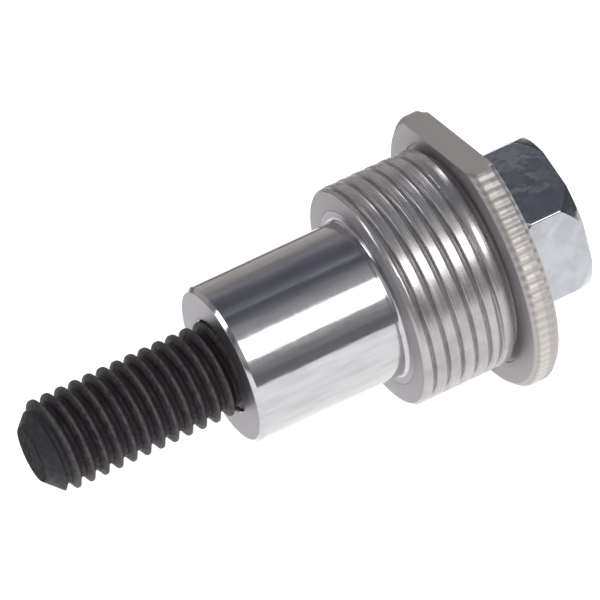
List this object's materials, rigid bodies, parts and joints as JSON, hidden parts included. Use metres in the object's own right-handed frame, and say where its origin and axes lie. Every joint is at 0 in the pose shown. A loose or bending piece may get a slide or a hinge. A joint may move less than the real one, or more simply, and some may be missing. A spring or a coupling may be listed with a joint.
{
  "type": "adjuster cartridge",
  "caption": "Screw-in adjustable stop: socket set screw in a ground guide sleeve, pressed into a threaded bush with a knurled flange and locked by a hexagon nut.",
  "frame": {"origin": "centre of the flange's front face, the face that seats on the host", "axes": "X along the cartridge's axis: the screw's point at -X, the lock nut at +X. +Z is the normal of the flat on the flange"},
  "size_m": [0.0475, 0.024, 0.022],
  "materials": {
    "turned_steel": "turned, bright",
    "ground_steel": "ground and polished",
    "black_oxide": "black oxide, oiled",
    "zinc_plate": "bright zinc plate"
  },
  "bodies": {
    "bush": {"threaded_bush": "turned_steel", "guide_sleeve": "ground_steel"},
    "screw": {"set_screw": "black_oxide"},
    "washer": {"nut_washer": "zinc_plate"},
    "nut": {"lock_nut": "zinc_plate"}
  },
  "joints": [
    {"name": "screw_travel", "type": "slide", "parent": "bush", "child": "screw", "axis": [1, 0, 0], "range_m": [-0.0015, 0.008]},
    {"name": "washer_travel", "type": "slide", "parent": "bush", "child": "washer", "axis": [1, 0, 0], "range_m": [0, 0.0025]},
    {"name": "nut_turn", "type": "hinge", "parent": "washer", "child": "nut", "pos_m": [0, 0, 0], "axis": [1, 0, 0], "range_deg": [0, 720]}
  ],
  "couplings": [
    {"joint": "washer_travel", "follows": "nut_turn", "m_per_rad": 0.00019894}
  ]
}
